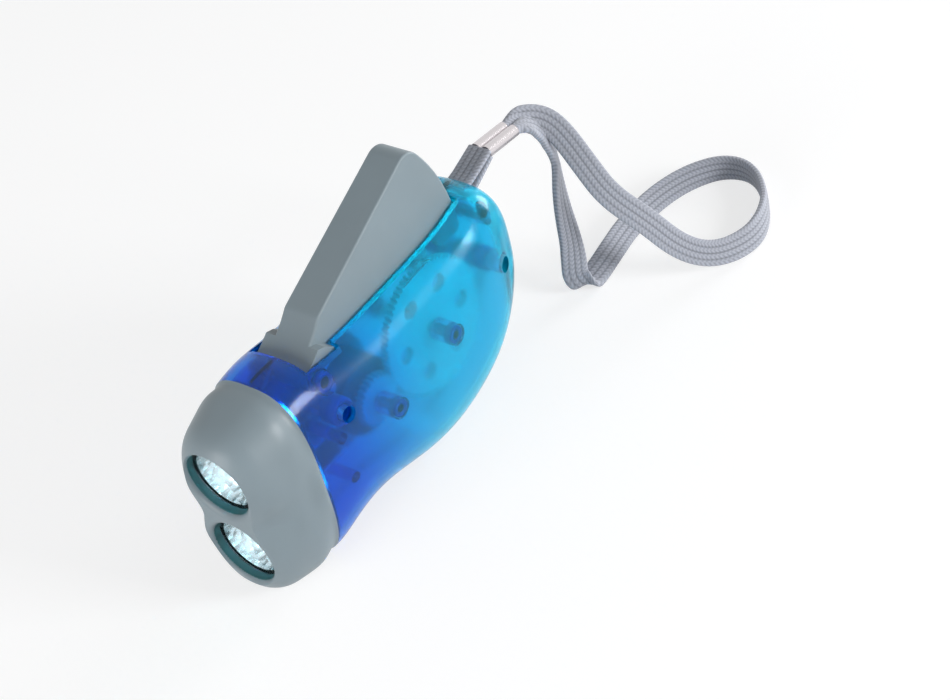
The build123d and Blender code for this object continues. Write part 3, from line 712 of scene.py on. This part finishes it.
# ---------------------------------------------------------------- operators
class OBJECT_OT_flashlight_finishes(bpy.types.Operator):
    """Makes the finishes and gives them to the carried-over pieces"""

    bl_idname = "object.flashlight_finishes"
    bl_label = "Finishes"

    def execute(self, context):
        finish = context.scene.flashlight_finish
        make_moulded_abs("abs_moulded_satin", finish.plastic)
        # The lamp openings' walls get painted shade: the same ABS in dark teal, tinted by the lamps' cyan
        # light.
        make_moulded_abs("abs_recess_painted_shade", finish.recess_shade)
        make_clear_blue(finish)
        make_braid(finish)
        # The window is acrylic moulded in a polished tool: clear and glossy, without a grain.
        make_plain("acrylic_clear_moulded", "#F4FBFF", 0.04, transmission=1.0, bump=0.0)
        make_faceted_silver()
        make_lamp_light(finish)
        for row in PLAIN_FINISHES:
            make_plain(*row)
        for name, nodes in FINISH_OF.items():
            coat(name, *nodes)
        paint_shade_in_lamp_openings()
        return {"FINISHED"}


class OBJECT_OT_flashlight_stage(bpy.types.Operator):
    """Sets the camera of the photograph, a pale floor and soft studio light"""

    bl_idname = "object.flashlight_stage"
    bl_label = "Camera, floor and light"

    def execute(self, context):
        scene = context.scene
        set_camera(scene)
        lay_floor(scene)
        hang_backdrop(scene)
        for light in LIGHTS:
            hang_light(scene, *light)
        scene.view_settings.view_transform = "Standard"
        return {"FINISHED"}


class OBJECT_OT_flashlight_strap(bpy.types.Operator):
    """Makes the braided wrist loop and the small loop at the case"""

    bl_idname = "object.flashlight_strap"
    bl_label = "Wrist strap"

    def execute(self, context):
        size = context.scene.flashlight_strap
        route = route_line()
        line = spaced(route, route_widths(len(route)))
        wrist = make_braid_piece("wrist_loop", line, size, size.thickness, NECK_LENGTH, "strap")
        route = small_loop_line()
        small = make_braid_piece(
            "small_loop", spaced(route, [Vector((1, 0, 0))] * len(route)), size,
            SMALL_LOOP_THICKNESS * MM, 0.0, "strap_loop",
        )
        coat("polyester_flat_braid", wrist, small)
        return {"FINISHED"}


class OBJECT_OT_flashlight_bosses(bpy.types.Operator):
    """Adds rings in and round the case's bosses, dark with painted shade, so that these show through the
    clear plastic
    """

    bl_idname = "object.flashlight_bosses"
    bl_label = "Rings at the bosses"

    def execute(self, context):
        shape = bmesh.new()
        for side in (-1, 1):
            for place, outer, inner, begin, end in RINGS:
                add_ring(shape, place, outer, inner, *sorted((side * begin, side * end)))
        for face in shape.faces:
            face.smooth = True
        bmesh.ops.recalc_face_normals(shape, faces=shape.faces)
        bosses = piece_from(shape, "case_bosses", "torch", "clear_blue_case")
        coat("boss_rings_painted_shade", bosses)
        return {"FINISHED"}


class VIEW3D_PT_flashlight(bpy.types.Panel):
    """Sizes, colours and steps of the flashlight"""

    bl_label = "Flashlight"
    bl_space_type = "VIEW_3D"
    bl_region_type = "UI"
    bl_category = "Flashlight"

    def draw(self, context):
        for group in (context.scene.flashlight_finish, context.scene.flashlight_strap):
            for name in group.__annotations__:
                self.layout.prop(group, name)
        for operator in OPERATORS:
            self.layout.operator(operator.bl_idname)


OPERATORS = (
    OBJECT_OT_flashlight_finishes,
    OBJECT_OT_flashlight_stage,
    OBJECT_OT_flashlight_strap,
    OBJECT_OT_flashlight_bosses,
)
CLASSES = (FlashlightFinish, FlashlightStrap, *OPERATORS, VIEW3D_PT_flashlight)


def register():
    """Registers the classes and gives the scene its sizes and colours."""
    for kind in CLASSES:
        bpy.utils.register_class(kind)
    bpy.types.Scene.flashlight_finish = bpy.props.PointerProperty(type=FlashlightFinish)
    bpy.types.Scene.flashlight_strap = bpy.props.PointerProperty(type=FlashlightStrap)


def unregister():
    """Takes back what register did, in the opposite order."""
    del bpy.types.Scene.flashlight_strap
    del bpy.types.Scene.flashlight_finish
    for kind in reversed(CLASSES):
        bpy.utils.unregister_class(kind)


def main():
    """Registers the classes and makes everything in order."""
    register()
    for operator in OPERATORS:
        group, name = operator.bl_idname.split(".")
        getattr(getattr(bpy.ops, group), name)()


if __name__ == "__main__":
    main()
